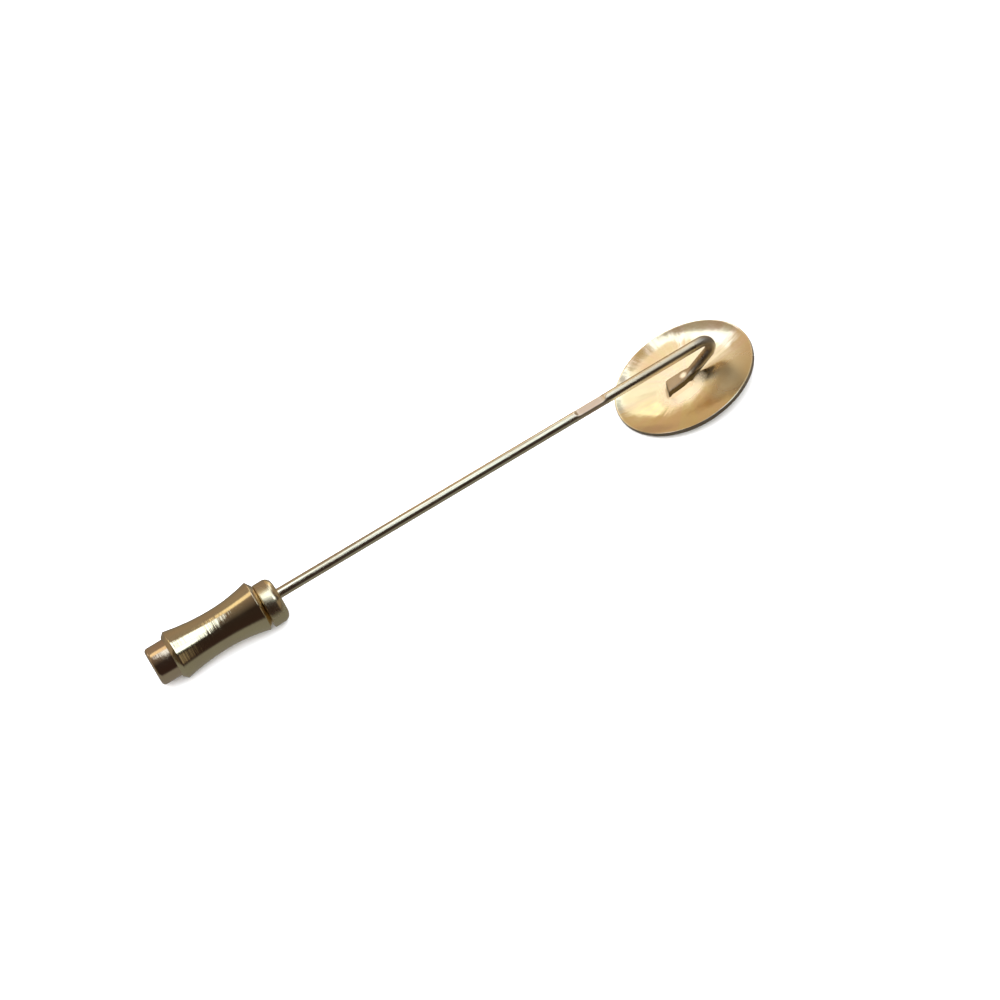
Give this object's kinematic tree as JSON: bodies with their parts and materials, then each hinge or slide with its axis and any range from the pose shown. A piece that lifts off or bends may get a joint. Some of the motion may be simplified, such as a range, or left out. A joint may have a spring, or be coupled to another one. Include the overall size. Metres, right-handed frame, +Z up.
{
  "type": "stick pin",
  "caption": "Stick pin with a dished round head, a wire pin hooked and soldered to its back, and a waisted pull clutch on the tip.",
  "frame": {"origin": "middle of the part's box, on the table that it lies on", "axes": "+Z up, +X along the pin from the clutch towards the head, as the pin lies on its head's dome and its clutch"},
  "size_m": [0.0632, 0.0142, 0.0052],
  "materials": {
    "head_gold": "polished gold-tone plate",
    "barrel_gold": "satin gold-tone plate",
    "plug_rose": "satin, rosier than the sleeve",
    "sleeve_gold": "turned, with fine lathe marks"
  },
  "bodies": {
    "pin": {"head_and_pin": "head_gold"},
    "clutch": {"clutch_barrel": "barrel_gold", "clutch_plug": "plug_rose"},
    "sleeve": {"clutch_sleeve": "sleeve_gold"}
  },
  "joints": [
    {"name": "clutch_slide", "type": "slide", "parent": "pin", "child": "clutch", "axis": [-0.9996, 0, -0.0278], "range_m": [0, 0.016]},
    {"name": "sleeve_slide", "type": "slide", "parent": "clutch", "child": "sleeve", "axis": [-0.9996, 0, -0.0278], "range_m": [0, 0.0011], "stiffness_N_per_m": 50, "springref_m": -0.001}
  ]
}
